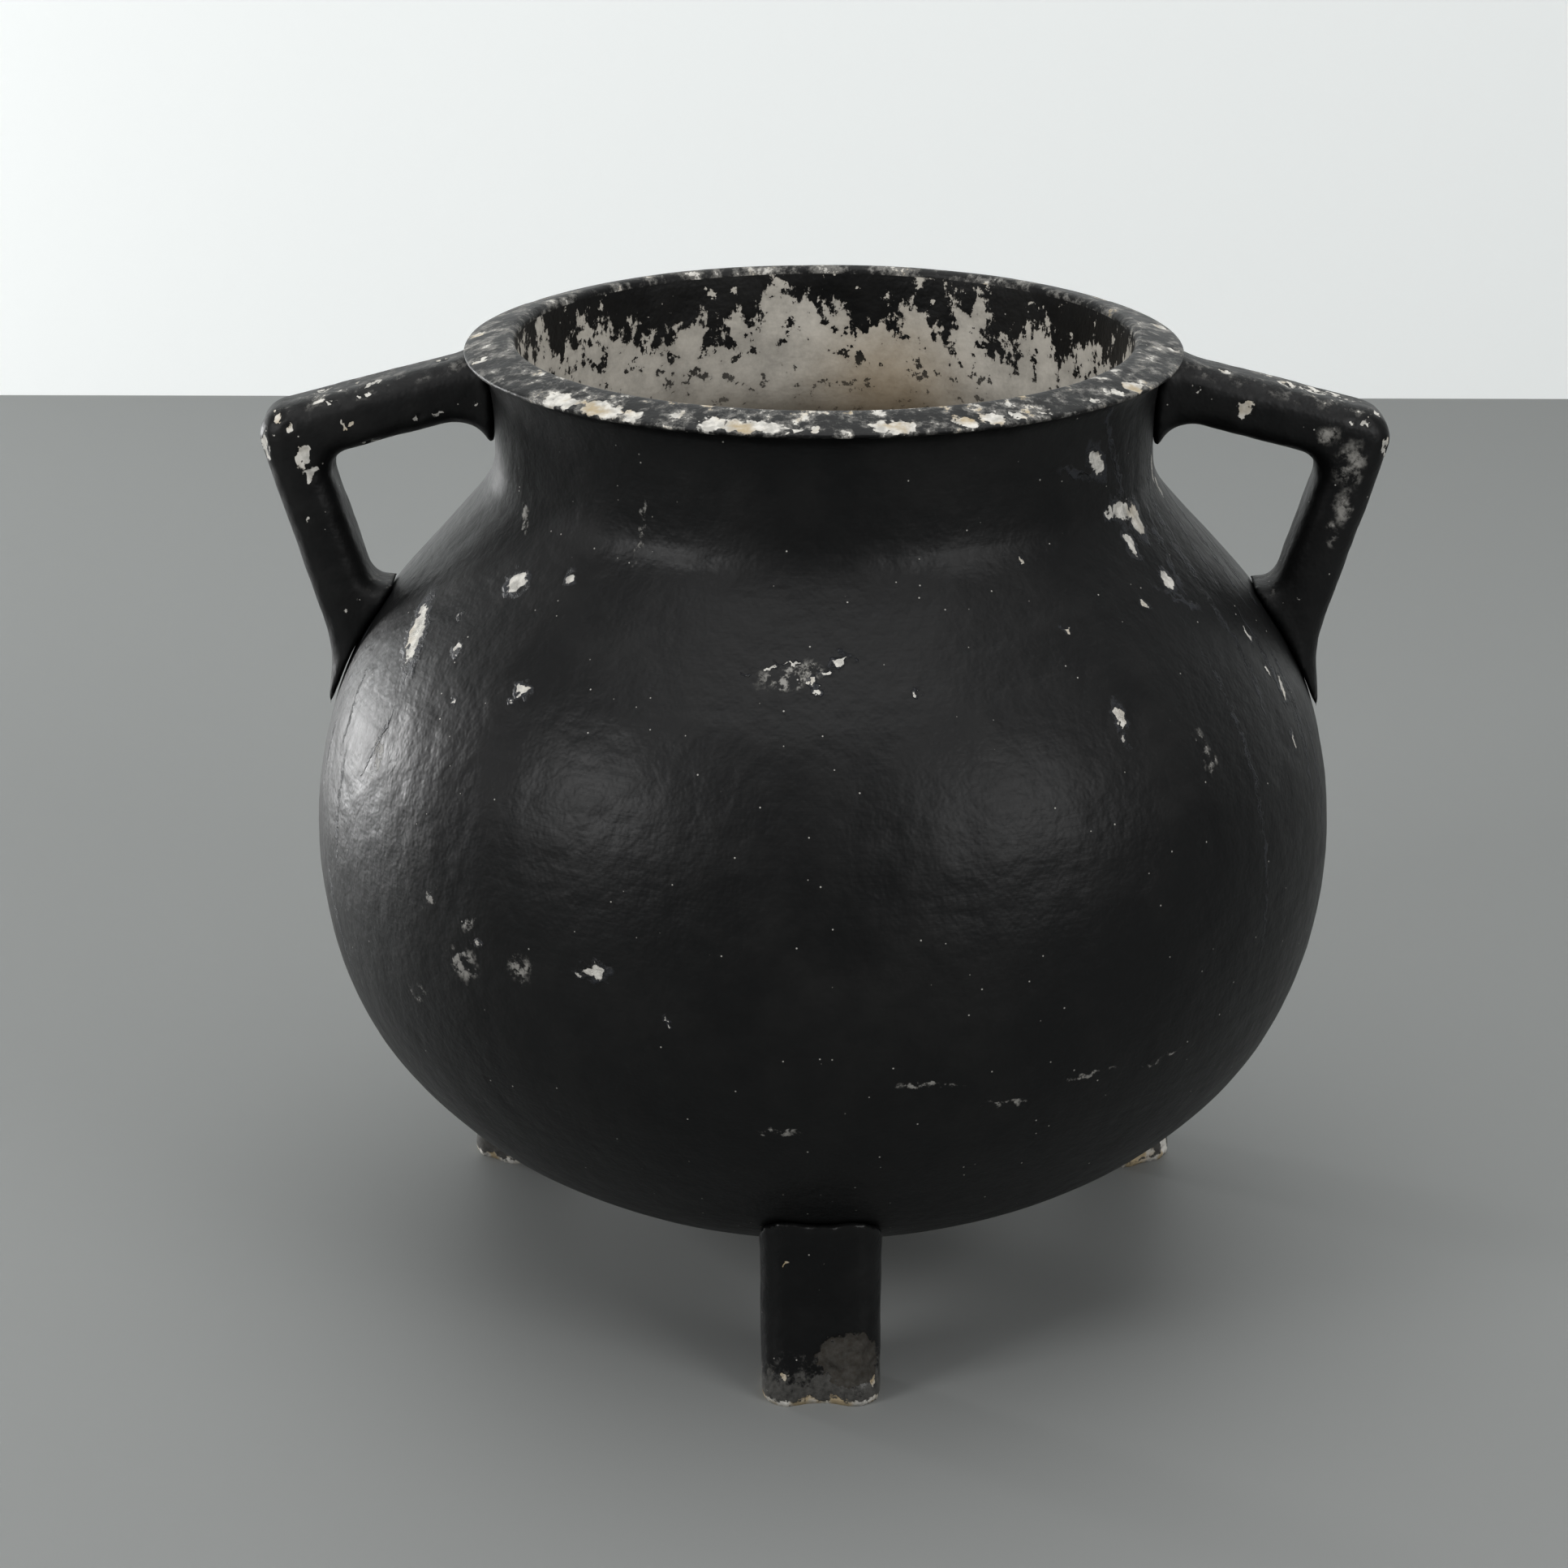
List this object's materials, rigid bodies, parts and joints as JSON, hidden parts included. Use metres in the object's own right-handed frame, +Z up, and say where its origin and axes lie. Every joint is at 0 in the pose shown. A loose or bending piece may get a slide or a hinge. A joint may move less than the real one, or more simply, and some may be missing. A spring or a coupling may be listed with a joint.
{
  "type": "cauldron planter",
  "caption": "Round-bellied ceramic planter in the form of a footed cooking cauldron, with an everted rim and bent side handles.",
  "frame": {"origin": "on the floor, under the pot's axis", "axes": "+Z up, +X through the two handles, -Y towards the front foot"},
  "size_m": [0.4344, 0.3998, 0.374],
  "materials": {
    "black_painted_ceramic": "satin black paint, chipped to the pale clay"
  },
  "bodies": {
    "root": {"pot_body": "black_painted_ceramic", "handle_left": "black_painted_ceramic", "handle_right": "black_painted_ceramic", "foot_front": "black_painted_ceramic", "foot_rear_left": "black_painted_ceramic", "foot_rear_right": "black_painted_ceramic"}
  },
  "joints": []
}
